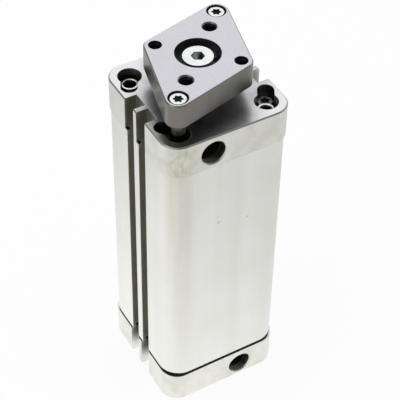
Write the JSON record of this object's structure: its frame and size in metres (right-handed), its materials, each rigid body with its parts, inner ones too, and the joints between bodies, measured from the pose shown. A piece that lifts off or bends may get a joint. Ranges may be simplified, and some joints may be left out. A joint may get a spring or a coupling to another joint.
{
  "type": "compact pneumatic cylinder",
  "caption": "Square compact pneumatic cylinder with a rhombus yoke plate on its rod, guide pins that stop it turning, side sensor slots and an air port in each cap.",
  "frame": {"origin": "middle of the rear cap's bottom face, on the piston rod's axis", "axes": "+Z along the rod, out of the front cap; the air ports face -Y; the sensor slots face -X and +X"},
  "size_m": [0.0454, 0.0454, 0.139],
  "materials": {
    "body_aluminium": "satin clear anodised extrusion",
    "plate_aluminium": "milled and clear anodised",
    "piston_aluminium": "turned",
    "black_rubber": "matt moulded nitrile",
    "screw_steel": "zinc plated",
    "rod_chrome": "ground and hard chromed",
    "bush_bronze": "sintered",
    "ring_plastic": "turned",
    "magnet_plastic": "plastic-bonded ferrite"
  },
  "bodies": {
    "barrel": {"rear_cap": "body_aluminium", "rear_gasket": "black_rubber", "barrel_tube": "body_aluminium", "front_cap": "body_aluminium", "front_cap_seal": "black_rubber", "rod_bush": "bush_bronze", "rod_wiper": "black_rubber", "guide_bush_near": "bush_bronze", "guide_bush_far": "bush_bronze", "front_cap_screws": "screw_steel", "rear_cap_screws": "screw_steel", "front_tie_sleeves": "screw_steel", "rear_tie_sleeves": "screw_steel", "front_bumper": "black_rubber", "rear_bumper": "black_rubber"},
    "rod": {"piston_rod": "rod_chrome", "piston_front_half": "piston_aluminium", "piston_rear_half": "piston_aluminium", "piston_front_seal": "black_rubber", "piston_rear_seal": "black_rubber", "piston_guide_ring": "ring_plastic", "magnet_ring": "magnet_plastic", "rod_seal_ring": "black_rubber", "piston_bolt": "screw_steel", "guide_pin_near": "rod_chrome", "guide_pin_far": "rod_chrome", "yoke_plate": "plate_aluminium", "yoke_screw": "screw_steel", "guide_pin_screws": "screw_steel"}
  },
  "joints": [
    {"name": "rod_slide", "type": "slide", "parent": "barrel", "child": "rod", "axis": [0, 0, 1], "range_m": [0, 0.08]}
  ]
}
